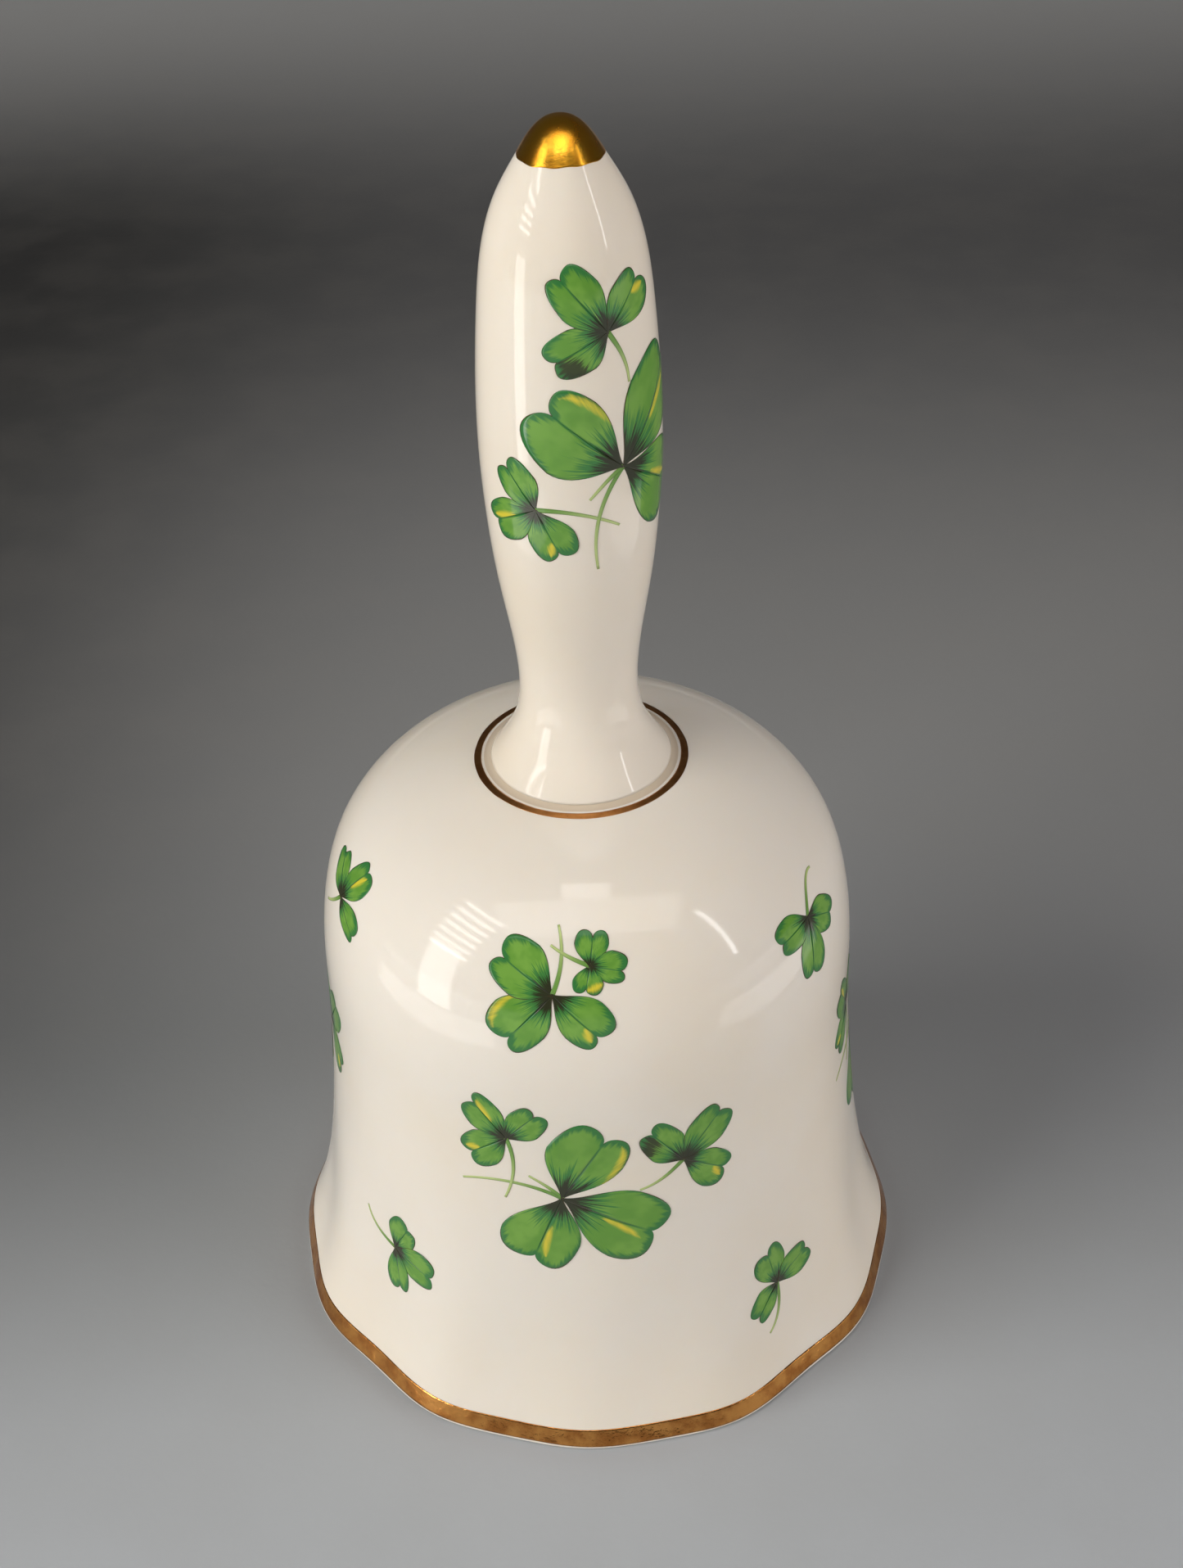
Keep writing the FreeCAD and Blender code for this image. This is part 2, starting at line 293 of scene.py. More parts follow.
def gilt_tip():
    """The gilt cap over the handle's tip."""
    columns, rows = HANDLE_COLUMNS, TIP_GILT_ROWS
    angles = around(columns)
    start = handle_outline.up_to(TIP_GILT_START)
    edge = start + sum(size * np.sin(count * angles + phase) for count, (size, phase) in TIP_WAVES.items())
    points = []
    for row in range(rows):
        share = row / rows
        lift = GILT_LIFT * (1 - share ** 4)
        points.append(handle_outline.place(angles, edge + (HANDLE_LENGTH - edge) * share, lift))
    pole = np.array([(0, 0, HANDLE_TIP)]) * MM
    faces = grid_faces(rows, columns, wrap_columns=True)
    last = (rows - 1) * columns
    faces += [(last + column, last + (column + 1) % columns, rows * columns) for column in range(columns)]
    piece = mesh_object("gilt_tip", np.concatenate(points + [pole]), faces, [gilt("gilt_tip", *GOLD_TIP)])
    film(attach(piece, "bell"), TIP_GILT_THICKNESS)


# ---------------------------------------------------------------- prints
def bezier(points, steps):
    """Points along the cubic curve that four points give."""
    share = np.linspace(0, 1, steps)[:, None]
    a, b, c, d = np.array(points, float)
    return (a * (1 - share) ** 3 + 3 * b * share * (1 - share) ** 2 + 3 * c * share ** 2 * (1 - share)
            + d * share ** 3)


def lobe_edge(width, reach, shoulder, vein):
    """One lobe of a heart-shaped leaflet, from its base round to the notch at the end of the vein, as
    (across, along). It is widest at the shoulder, which is a share of how far it reaches."""
    widest = shoulder * reach
    rest = reach - widest
    lower = bezier([(0, 0), (0.12 * width, 0.28 * widest), (0.90 * width, 0.50 * widest),
                    (width, widest)], 15)
    upper = bezier([(width, widest), (width, widest + 0.62 * rest), (0.80 * width, reach),
                    (0.48 * width, reach)], 11)
    inner = bezier([(0.48 * width, reach), (0.22 * width, reach), (0.03 * width, 0.5 * (vein + reach)),
                    (0, vein)], 9)
    return np.concatenate([lower, upper[1:], inner[1:]])


def stroke_depth(flat, line, half_width):
    """How deep each point lies in a brush stroke along a bent line: 1 on the line, 0 at the stroke's edge."""
    start, middle, end = np.array(line, float)
    share = np.linspace(0, 1, STROKE_POINTS)[:, None]
    path = start * (1 - share) ** 2 + 2 * middle * share * (1 - share) + end * share ** 2
    taper = half_width * (0.35 + 0.65 * np.sin(math.pi * np.clip(share[:, 0] * 0.9 + 0.1, 0, 1)))
    distance = np.linalg.norm(flat[:, :, None] - path, axis=-1)
    return np.maximum(-1.0, (1.0 - distance / taper).max(axis=-1))


def leaflet(direction, vein, left, right, *strokes):
    """A leaflet in flat millimetres about its base, as two grids from the vein out to the edge. left and
    right give each lobe's width, reach and shoulder. A stroke is (GOLD or DARK, side, line), its line in
    shares of that lobe's width and reach."""
    grids, polar, paint = [], [], []
    length = max(left[1], right[1])
    for side, lobe in ((LEFT, left), (RIGHT, right)):
        edge = lobe_edge(*lobe, vein) * (-side, 1)
        spine = np.stack([np.zeros(len(edge)), np.linspace(0, vein, len(edge))], axis=-1)
        share = np.linspace(0, 1, LEAF_COLUMNS)[None, :, None]
        flat = spine[:, None] * (1 - share) + edge[:, None] * share
        from_edge = np.linalg.norm(flat[:, :, None] - edge, axis=-1).min(axis=-1)
        bearing = np.arctan2(flat[..., 0], np.maximum(flat[..., 1], 1e-6))
        polar.append(np.stack([np.linalg.norm(flat, axis=-1) / length, bearing, from_edge], axis=-1))
        depths = {GOLD: np.full(flat.shape[:2], -1.0), DARK: np.full(flat.shape[:2], -1.0)}
        for colour, stroke_side, line in strokes:
            if stroke_side == side:
                scaled = [(-side * across * lobe[0], along * lobe[1]) for across, along in line]
                depth = stroke_depth(flat, scaled, STROKE_HALF_WIDTH[colour])
                depths[colour] = np.maximum(depths[colour], depth)
        paint.append(np.stack([depths[GOLD], depths[DARK], np.full(flat.shape[:2], side)], axis=-1))
        grids.append(flat - (0, BASE_OVERLAP))
    turn = math.radians(direction) - math.pi / 2
    spin = np.array([[math.cos(turn), math.sin(turn)], [-math.sin(turn), math.cos(turn)]])
    return [flat @ spin for flat in grids], polar, paint


def stem(points):
    """A tapering stem in flat millimetres, along a smooth line of four points."""
    line = bezier(points, STEM_ROWS)
    along = np.gradient(line, axis=0)
    along /= np.linalg.norm(along, axis=1)[:, None]
    across = np.stack([-along[:, 1], along[:, 0]], axis=-1)
    width = np.linspace(*STEM_WIDTH, len(line))[:, None, None] / 2
    sides = np.linspace(-1, 1, STEM_COLUMNS)[None, :, None]
    return line[:, None] + across[:, None] * sides * width


STEM_WIDTH = (0.52, 0.26)       # at its start and at its end
LEFT, RIGHT = 1, -1             # sides of a leaflet seen from its base
GOLD, DARK = "gold", "dark"
STROKE_HALF_WIDTH = {GOLD: 0.65, DARK: 1.5}
BASE_OVERLAP = 0.30             # how far each leaflet runs past the point where a sprig's leaflets meet
OUTER_EDGE = [(0.78, 0.42), (1.00, 0.80), (0.52, 0.94)]         # a stroke just inside the lobe's edge
BESIDE_VEIN = [(0.06, 0.45), (0.10, 0.68), (0.26, 0.86)]        # and one along the vein towards the tip
NEAR_NOTCH = [(0.10, 0.72), (0.22, 0.80), (0.36, 0.90)]
LOBE_TIP = [(0.22, 0.84), (0.55, 0.76), (0.86, 0.62)]

# Each motif is a list of sprigs: where its leaflets meet, the leaflets and the stems, all in millimetres
# about the motif's own centre. A leaflet is its direction in degrees, anticlockwise from the right, its
# vein's length, its left and right lobes and its strokes.
BOUQUET = [
    {"at": (0, 0),
     "leaves": [(60, 9.4, (4.9, 11.0, 0.54), (3.6, 10.6, 0.66), (GOLD, RIGHT, OUTER_EDGE)),
                (-110, 9.4, (4.0, 10.5, 0.58), (4.6, 10.3, 0.70), (GOLD, LEFT, BESIDE_VEIN)),
                (-30, 11.2, (4.6, 12.2, 0.60), (4.9, 12.2, 0.70), (GOLD, RIGHT, BESIDE_VEIN))],
     "stems": [[(0, 0), (-2.6, 1.6), (-6.5, 2.2), (-11.1, 0.3)],
               [(0, 0), (-0.9, 1.2), (-2.0, 1.9), (-3.5, 2.8)]]},
    {"at": (-5.8, 7.7),
     "leaves": [(130, 5.7, (2.5, 6.1, 0.58), (2.1, 6.7, 0.55), (GOLD, RIGHT, BESIDE_VEIN)),
                (-142, 5.3, (2.5, 6.1, 0.62), (2.4, 6.0, 0.55), (GOLD, RIGHT, NEAR_NOTCH)),
                (50, 5.1, (2.0, 5.7, 0.58), (2.2, 5.9, 0.50))],
     "stems": [[(0, 0), (0.9, -2.4), (1.0, -5.2), (-0.4, -8.6)]]},
    {"at": (13.1, 3.8),
     "leaves": [(127, 5.9, (2.3, 6.4, 0.45), (2.3, 6.8, 0.52), (DARK, LEFT, LOBE_TIP)),
                (51, 7.0, (2.3, 7.7, 0.55), (2.6, 7.6, 0.58)),
                (-33, 5.7, (2.2, 6.3, 0.55), (2.8, 6.6, 0.70), (GOLD, RIGHT, NEAR_NOTCH))],
     "stems": [[(0, 0), (-1.5, -1.5), (-2.8, -2.6), (-4.8, -3.1)]]},
]
PAIR = [
    {"at": (0, 0),
     "leaves": [(149, 6.4, (2.7, 7.3, 0.52), (3.4, 7.5, 0.55)),
                (-130, 6.9, (2.5, 8.0, 0.55), (3.6, 7.9, 0.62), (GOLD, RIGHT, OUTER_EDGE)),
                (-45, 6.5, (3.0, 7.4, 0.58), (2.3, 7.3, 0.62), (GOLD, RIGHT, NEAR_NOTCH))],
     "stems": [[(0, 0), (0.9, 2.4), (1.1, 4.5), (0.3, 7.1)]]},
    {"at": (3.8, 3.0),
     "leaves": [(85, 3.2, (1.9, 3.9, 0.62), (1.8, 3.9, 0.64)),
                (-13, 3.6, (1.9, 4.1, 0.55), (1.4, 4.1, 0.62)),
                (-100, 2.7, (1.7, 3.2, 0.62), (1.5, 3.2, 0.62), (GOLD, LEFT, LOBE_TIP))],
     "stems": [[(0, 0), (-1.4, 0.5), (-2.8, 1.1), (-4.2, 2.0)]]},
]
SPRIG_LEFT = [
    {"at": (0, 0),
     "leaves": [(138, 5.2, (1.9, 6.1, 0.50), (1.8, 5.2, 0.60)),
                (62, 6.0, (1.9, 6.4, 0.52), (2.4, 6.6, 0.68), (GOLD, RIGHT, BESIDE_VEIN)),
                (-21, 5.3, (2.1, 5.8, 0.70), (1.4, 5.7, 0.45))],
     "stems": [[(0, 0), (-0.6, -0.8), (-2.0, -2.2), (-3.9, -3.2)]]},
]
SPRIG_RIGHT = [
    {"at": (0, 0),
     "leaves": [(-30, 5.2, (2.1, 6.0, 0.50), (2.0, 5.6, 0.55)),
                (-101, 6.4, (2.5, 7.1, 0.72), (2.2, 7.0, 0.58)),
                (-176, 5.2, (1.9, 5.6, 0.48), (2.2, 5.9, 0.58))],
     "stems": [[(0, 0), (1.0, 1.8), (2.6, 3.9), (4.3, 3.4)]]},
]
HEM_LEFT = [
    {"at": (0, 0),
     "leaves": [(-6, 6.1, (2.6, 6.7, 0.68), (2.3, 6.7, 0.50)),
                (-79, 5.5, (1.8, 6.1, 0.55), (2.1, 6.3, 0.70)),
                (62, 5.0, (2.5, 5.6, 0.55), (1.9, 5.3, 0.55))],
     "stems": [[(0, 0), (-2.2, 0.2), (-4.2, 1.0), (-5.0, 3.0)]]},
]
HEM_RIGHT = [
    {"at": (0, 0),
     "leaves": [(103, 5.4, (2.5, 6.0, 0.68), (2.3, 6.5, 0.55)),
                (22, 5.4, (2.0, 5.8, 0.50), (2.3, 5.9, 0.60)),
                (-140, 4.5, (1.7, 5.2, 0.55), (2.2, 5.2, 0.45))],
     "stems": [[(0, 0), (0.3, -2.6), (-0.2, -5.0), (-2.2, -6.0)]]},
]
# name, motif, outline, angle from the front in degrees, height, turn in degrees
PRINTS = [
    ("print_front_bouquet", BOUQUET, body_outline, -7.0, 34.5, 0),
    ("print_front_pair", PAIR, body_outline, -8.0, 60.7, 0),
    ("print_left_top", SPRIG_LEFT, body_outline, -72.0, 59.4, 0),
    ("print_right_top", SPRIG_RIGHT, body_outline, 57.3, 59.7, 0),
    ("print_left_hem", HEM_LEFT, body_outline, -47.5, 18.0, 0),
    ("print_right_hem", HEM_RIGHT, body_outline, 39.4, 13.7, 0),
    ("print_left_bouquet", BOUQUET, body_outline, -105.0, 35.3, 0),
    ("print_right_bouquet", BOUQUET, body_outline, 87.0, 32.8, 0),
    ("print_back_bouquet", BOUQUET, body_outline, 173.0, 34.5, 0),
    ("print_back_pair", PAIR, body_outline, 174.0, 59.5, 0),
    ("print_back_left_top", SPRIG_LEFT, body_outline, 136.0, 56.5, 0),
    ("print_back_right_top", SPRIG_RIGHT, body_outline, -140.0, 56.5, 0),
    ("print_back_left_hem", HEM_LEFT, body_outline, 134.0, 18.0, 0),
    ("print_back_right_hem", HEM_RIGHT, body_outline, -139.0, 13.7, 0),
    ("print_handle_front", BOUQUET, handle_outline, 33.0, 109.5, 78),
    ("print_handle_back", SPRIG_RIGHT, handle_outline, -150.0, 110.0, 0),
]


def make_print(name, motif, outline, angle, height, turn):
    """One fired print: its leaflets and stems laid on the glaze about a point."""
    points, faces, polar, paint, seeds, kinds = [], [], [], [], [], []
    base = outline.up_to(height)
    middle = math.radians(angle)
    turned = math.radians(turn)
    spin = np.array([[math.cos(turned), math.sin(turned)], [-math.sin(turned), math.cos(turned)]])

    def lay(flat, lift, about, marks, colours, kind):
        """Bends one flat grid onto the glaze. kind is the index of its material."""
        flat = (flat + about) @ spin
        distance = base + flat[..., 1]
        radius = (outline.at(distance)[0] + outline.at(base)[0]) / 2
        placed = outline.place(middle + flat[..., 0] / radius, distance, lift)
        new = grid_faces(*flat.shape[:2], first=len(points))
        facing = np.cross(placed[0, -1] - placed[-1, 0], placed[-1, -1] - placed[0, 0])
        if np.dot(facing, placed.mean(axis=(0, 1)) * (1, 1, 0)) > 0:
            new = [face[::-1] for face in new]
        points.extend(placed.reshape(-1, 3))
        faces.extend(new)
        polar.extend(marks.reshape(-1, 3))
        paint.extend(colours.reshape(-1, 3))
        seeds.extend([random.random()] * (len(points) - len(seeds)))
        kinds.extend([kind] * len(new))

    for sprig in motif:
        for line in sprig["stems"]:
            flat = stem(line)
            marks = np.zeros(flat.shape[:2] + (3,))
            marks[..., 0] = np.linspace(0, 1, flat.shape[0])[:, None]
            marks[..., 1] = np.linspace(-1, 1, flat.shape[1])[None, :]
            lay(flat, STEM_LIFT, sprig["at"], marks, marks, 1)
        for order, leaf in enumerate(sprig["leaves"]):
            for flat, marks, colours in zip(*leaflet(*leaf)):
                lay(flat, PRINT_LIFT + LEAFLET_STEP * order, sprig["at"], marks, colours, 0)
    piece = mesh_object(name, points, faces, [leaf_material, stem_material])
    piece.data.polygons.foreach_set("material_index", kinds)
    for label, values in (("leaf_polar", polar), ("leaf_paint", paint)):
        attribute = piece.data.attributes.new(label, "FLOAT_VECTOR", "POINT")
        attribute.data.foreach_set("vector", np.array(values, np.float32).ravel())
    attribute = piece.data.attributes.new("leaf_seed", "FLOAT", "POINT")
    attribute.data.foreach_set("value", np.array(seeds, np.float32))
    film(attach(piece, "bell"), PRINT_LIFT)


# ---------------------------------------------------------------- materials
BODY_COLOUR = (0.86, 0.80, 0.71)
HANDLE_COLOUR = (0.86, 0.785, 0.675)
# the bead is darker than the body: partly a stain, partly painted shade of the crease between the handle's
# foot and the gilt ring
BEAD_STAIN_AND_SHADE = (0.70, 0.58, 0.44)
LEAF_BRIGHT = (0.185, 0.385, 0.062)
LEAF_DEEP = (0.125, 0.310, 0.042)
LEAF_TEAL = (0.022, 0.165, 0.048)
LEAF_YELLOW = (0.72, 0.60, 0.05)
LEAF_BLACK = (0.030, 0.026, 0.014)
LEAF_BROWN = (0.070, 0.045, 0.018)
GLAZE_IOR = 1.52
# the gilding's bright and worn colours, its roughness, and the depth of its unevenness in metres
GOLD_RIM = ((0.86, 0.40, 0.11), (0.56, 0.22, 0.055), 0.13, 0.0005)
GOLD_RING = ((0.62, 0.28, 0.09), (0.42, 0.17, 0.05), 0.30, 0.0001)
GOLD_TIP = ((1.0, 0.50, 0.045), (0.88, 0.36, 0.025), 0.18, 0.0001)


class Nodes:
    """A material's node tree, with short ways to add and join nodes."""

    def __init__(self, name):
        self.material = bpy.data.materials.new(name)
        self.material.use_nodes = True
        self.tree = self.material.node_tree
        self.shader = self.tree.nodes["Principled BSDF"]

    def add(self, kind, settings=None, **inputs):
        node = self.tree.nodes.new("ShaderNode" + kind)
        for key, value in (settings or {}).items():
            setattr(node, key, value)
        for key, value in inputs.items():
            self.join(value, node.inputs[key.replace("_", " ")])
        return node

    def join(self, value, socket):
        if isinstance(value, bpy.types.NodeSocket):
            self.tree.links.new(value, socket)
        else:
            socket.default_value = value

    def math(self, operation, first, second=0.0):
        node = self.tree.nodes.new("ShaderNodeMath")
        node.operation = operation
        for socket, value in zip(node.inputs, (first, second)):
            self.join(value, socket)
        return node.outputs[0]

    def remap(self, value, start, end, low=0.0, high=1.0):
        """value from start to end becomes low to high, with a soft start and end."""
        node = self.add("MapRange", {"interpolation_type": "SMOOTHSTEP"}, Value=value)
        for key, number in (("From Min", start), ("From Max", end), ("To Min", low), ("To Max", high)):
            node.inputs[key].default_value = number
        return node.outputs["Result"]

    def mix(self, factor, first, second):
        node = self.tree.nodes.new("ShaderNodeMix")
        node.data_type = "RGBA"
        for key, value in ((0, factor), (6, first), (7, second)):
            if isinstance(value, tuple) and len(value) == 3:
                value = (*value, 1.0)
            self.join(value, node.inputs[key])
        return node.outputs[2]

    def noise(self, scale, vector, detail=3.0, roughness=0.55):
        node = self.add("TexNoise", Vector=vector)
        node.inputs["Scale"].default_value = scale
        node.inputs["Detail"].default_value = detail
        node.inputs["Roughness"].default_value = roughness
        return node.outputs["Fac"]

    def place(self):
        return self.add("TexCoord").outputs["Object"]

    def attribute(self, name):
        """The three parts of an attribute that is stored on the mesh."""
        stored = self.add("Attribute", {"attribute_name": name})
        parts = self.add("SeparateXYZ", Vector=stored.outputs["Vector"])
        return [parts.outputs[key] for key in "XYZ"]

    def bump(self, height, strength, distance):
        node = self.add("Bump", Height=height)
        node.inputs["Strength"].default_value = strength
        node.inputs["Distance"].default_value = distance
        self.join(node.outputs["Normal"], self.shader.inputs["Normal"])


def china(name, colour, seed):
    """Glazed bone china: warm white, faintly clouded, with a few pinholes and a very slightly wavy glaze."""
    nodes = Nodes(name)
    here = nodes.add("Mapping", Vector=nodes.place())
    here.inputs["Location"].default_value = (seed, seed * 0.37, -seed)
    here = here.outputs["Vector"]
    cloud = nodes.noise(38.0, here, 4.0)
    creamy = tuple(channel * shade for channel, shade in zip(colour, (0.985, 0.955, 0.90)))
    base = nodes.mix(nodes.remap(cloud, 0.35, 0.75), colour, creamy)
    cells = nodes.add("TexVoronoi", {"feature": "F1"}, Vector=here)
    cells.inputs["Scale"].default_value = 190.0
    cells.inputs["Randomness"].default_value = 1.0
    chosen = nodes.add("SeparateColor", Color=cells.outputs["Color"]).outputs["Red"]
    dot = nodes.math("LESS_THAN", cells.outputs["Distance"], 0.035)
    speck = nodes.math("MULTIPLY", dot, nodes.math("GREATER_THAN", chosen, 0.93))
    base = nodes.mix(nodes.math("MULTIPLY", speck, 0.55), base, (0.36, 0.27, 0.19))
    nodes.join(base, nodes.shader.inputs["Base Color"])
    roughness = nodes.remap(nodes.noise(120.0, here, 5.0), 0.3, 0.8, 0.055, 0.10)
    nodes.join(roughness, nodes.shader.inputs["Roughness"])
    nodes.shader.inputs["IOR"].default_value = GLAZE_IOR
    nodes.shader.inputs["Subsurface Weight"].default_value = 0.12
    nodes.shader.inputs["Subsurface Radius"].default_value = (1.0, 0.75, 0.5)
    nodes.shader.inputs["Subsurface Scale"].default_value = 0.0015
    swell = nodes.noise(85.0, here, 1.5, 0.4)
    grain = nodes.noise(900.0, here, 2.0)
    height = nodes.math("ADD", swell, nodes.math("MULTIPLY", grain, 0.03))
    nodes.bump(height, 0.12, 0.0004)
    return nodes.material


def gilt(name, bright, worn, roughness, relief):
    """Burnished gilding: warm gold, mottled, and browner where the brush ran thin."""
    nodes = Nodes(name)
    here = nodes.place()
    patch = nodes.noise(420.0, here, 4.0)
    fine = nodes.noise(2600.0, here, 3.0)
    tone = nodes.mix(nodes.remap(patch, 0.38, 0.66), bright, worn)
    dull = nodes.math("MULTIPLY", nodes.remap(fine, 0.64, 0.80), 0.5)
    tone = nodes.mix(dull, tone, tuple(channel * 0.4 for channel in worn))
    nodes.join(tone, nodes.shader.inputs["Base Color"])
    nodes.shader.inputs["Metallic"].default_value = 1.0
    nodes.join(nodes.remap(patch, 0.25, 0.75, roughness, roughness + 0.12), nodes.shader.inputs["Roughness"])
    nodes.bump(nodes.math("ADD", patch, nodes.math("MULTIPLY", fine, 0.1)), 0.4, relief)
    return nodes.material


def leaf_print():
    """Clover green under the glaze. Near-black strokes fan out from the base, with teal ones beyond them and
    round the rim, and a brown line runs along parts of the edge."""
    nodes = Nodes("leaf_print")
    reach, bearing, rim = nodes.attribute("leaf_polar")
    gold, dark, side = nodes.attribute("leaf_paint")
    seed = nodes.add("Attribute", {"attribute_name": "leaf_seed"}).outputs["Fac"]
    seed = nodes.math("MULTIPLY", seed, 90.0)

    def strokes(across, along, shift):
        """Noise drawn out along the leaflet's length, different for each leaflet."""
        spot = nodes.add("CombineXYZ", X=nodes.math("MULTIPLY", bearing, across),
                         Y=nodes.math("MULTIPLY", reach, along), Z=nodes.math("ADD", seed, shift))
        return nodes.noise(1.0, spot.outputs["Vector"], 2.0, 0.6)

    def shifted(value, noise, amount):
        """The value moved up or down by the noise, so that its limit breaks up into strokes."""
        return nodes.math("ADD", value, nodes.math("MULTIPLY", nodes.math("SUBTRACT", noise, 0.5), amount))

    fan = strokes(27.0, 1.5, 0.0)
    comb = strokes(30.0, 1.8, 31.0)
    wash = strokes(2.6, 3.0, 57.0)
    fill = nodes.mix(nodes.remap(wash, 0.35, 0.65), LEAF_DEEP, LEAF_BRIGHT)
    fill = nodes.mix(nodes.math("MULTIPLY", nodes.remap(side, -1.0, 1.0), 0.22), fill, LEAF_DEEP)
    rim_width = nodes.remap(reach, 0.45, 0.95, 0.10, 0.78)
    in_rim = nodes.math("SUBTRACT", shifted(rim, comb, 1.6), rim_width)
    fill = nodes.mix(nodes.remap(in_rim, 0.25, -0.40, 0.0, 0.85), fill, LEAF_TEAL)
    fill = nodes.mix(nodes.remap(shifted(gold, comb, 0.7), 0.0, 0.95, 0.0, 0.95), fill, LEAF_YELLOW)
    fill = nodes.mix(nodes.remap(shifted(reach, fan, 0.75), 0.46, 0.34, 0.0, 0.80), fill, LEAF_TEAL)
    off_vein = nodes.math("MULTIPLY", nodes.math("ABSOLUTE", bearing), reach)
    fading = nodes.remap(reach, 0.95, 0.70, 0.25, 0.75)
    vein = nodes.math("MULTIPLY", nodes.remap(off_vein, 0.018, 0.006), fading)
    fill = nodes.mix(vein, fill, LEAF_TEAL)
    fill = nodes.mix(nodes.remap(shifted(reach, fan, 0.60), 0.305, 0.245, 0.0, 0.95), fill, LEAF_BLACK)
    fill = nodes.mix(nodes.remap(shifted(dark, comb, 2.4), 0.05, 0.55, 0.0, 0.90), fill, LEAF_BLACK)
    line = nodes.math("MULTIPLY", nodes.remap(rim, 0.13, 0.05), nodes.remap(wash, 0.44, 0.56, 0.10, 0.95))
    fill = nodes.mix(line, fill, LEAF_BROWN)
    nodes.join(fill, nodes.shader.inputs["Base Color"])
    nodes.join(nodes.remap(wash, 0.3, 0.7, 0.07, 0.12), nodes.shader.inputs["Roughness"])
    nodes.shader.inputs["IOR"].default_value = GLAZE_IOR
    return nodes.material


def stem_print():
    """Olive stems, darker along one side and paler towards the end."""
    nodes = Nodes("stem_print")
    along, across, _ = nodes.attribute("leaf_polar")
    tone = nodes.mix(nodes.remap(along, 0.1, 0.95), (0.150, 0.310, 0.060), (0.50, 0.60, 0.23))
    tone = nodes.mix(nodes.remap(across, 0.1, 1.0, 0.0, 0.45), tone, (0.070, 0.170, 0.030))
    nodes.join(tone, nodes.shader.inputs["Base Color"])
    nodes.shader.inputs["Roughness"].default_value = 0.09
    nodes.shader.inputs["IOR"].default_value = GLAZE_IOR
    return nodes.material


def plaster():
    """Set plaster: a grainy matt surface."""
    nodes = Nodes("plaster")
    grain = nodes.noise(700.0, nodes.place(), 5.0)
    tone = nodes.mix(nodes.remap(grain, 0.3, 0.7), (0.72, 0.69, 0.62), (0.58, 0.54, 0.46))
    nodes.join(tone, nodes.shader.inputs["Base Color"])
    nodes.join(nodes.remap(grain, 0.3, 0.7, 0.77, 0.93), nodes.shader.inputs["Roughness"])
    nodes.bump(grain, 0.5, 0.00012)
    return nodes.material


def brass():
    """Drawn brass wire, dulled and darker in patches."""
    nodes = Nodes("brass_wire")
    here = nodes.place()
    patch = nodes.noise(300.0, here, 4.0)
    drawn = nodes.add("Mapping", Vector=here)
    drawn.inputs["Scale"].default_value = (1.0, 1.0, 0.06)
    lines = nodes.noise(4200.0, drawn.outputs["Vector"], 2.0)
    nodes.join(nodes.mix(nodes.remap(patch, 0.35, 0.7), (0.72, 0.50, 0.20), (0.42, 0.27, 0.11)),
               nodes.shader.inputs["Base Color"])
    nodes.shader.inputs["Metallic"].default_value = 1.0
    nodes.join(nodes.remap(patch, 0.3, 0.75, 0.24, 0.46), nodes.shader.inputs["Roughness"])
    nodes.bump(lines, 0.3, 0.00004)
    return nodes.material


def floor_paint_and_painted_shade():
    """Pale grey paint, with painted shade in its colour: it darkens gently away from the front as a painted
    fall-off of the light, has a painted shadow to the left of the bell, and is paler far behind.
    """
    nodes = Nodes("floor_paint_and_painted_shade")
    here = nodes.place()
    spot = nodes.add("SeparateXYZ", Vector=here)
    depth = spot.outputs["Y"]
    # painted shade: the floor darkens from the front backwards, in place of the light's fall-off
    near = nodes.remap(depth, -0.20, 0.13)
    far = nodes.remap(depth, 0.10, 0.30)
    tone = nodes.mix(near, (0.60, 0.64, 0.685), (0.26, 0.262, 0.26))
    tone = nodes.mix(far, tone, (0.10, 0.10, 0.10))
    # painted shadow: the floor just left of the bell is painted nearly black
    shade = nodes.math("MULTIPLY", nodes.remap(spot.outputs["X"], -0.01, -0.13, 0.0, 0.73),
                       nodes.remap(depth, -0.05, 0.04))
    tone = nodes.mix(shade, tone, (0.014, 0.013, 0.012))
    tone = nodes.mix(nodes.remap(depth, 0.30, 0.50), tone, (0.36, 0.36, 0.355))
    grain = nodes.noise(60.0, here, 6.0)
    tone = nodes.mix(nodes.remap(grain, 0.35, 0.7, 0.0, 0.06), tone, (0.30, 0.28, 0.25))
    nodes.join(tone, nodes.shader.inputs["Base Color"])
    nodes.shader.inputs["Specular IOR Level"].default_value = 0.2
    nodes.shader.inputs["Roughness"].default_value = 0.55
    nodes.bump(nodes.noise(700.0, here, 3.0), 0.15, 0.0002)
    return nodes.material


# ---------------------------------------------------------------- stage, camera and lights
WARM = (1.0, 0.97, 0.93)
LAMP, CARD = "lamp", "card"
FLOOR_HALF = 3.0
ROOM_COLOUR, ROOM_STRENGTH = (0.95, 0.97, 1.0, 1.0), 0.06
LIGHTS_AIM = Vector((0, 0, 0.07))
CAMERA_AT = (0.0, -0.1898, 0.2103)
CAMERA_PITCH = math.radians(37.09)      # below the horizon
CAMERA_YAW = math.radians(0.30)
CAMERA_ROLL = math.radians(1.80)
CAMERA_LENS = 50.76                     # with a sensor of 36 mm on the long side


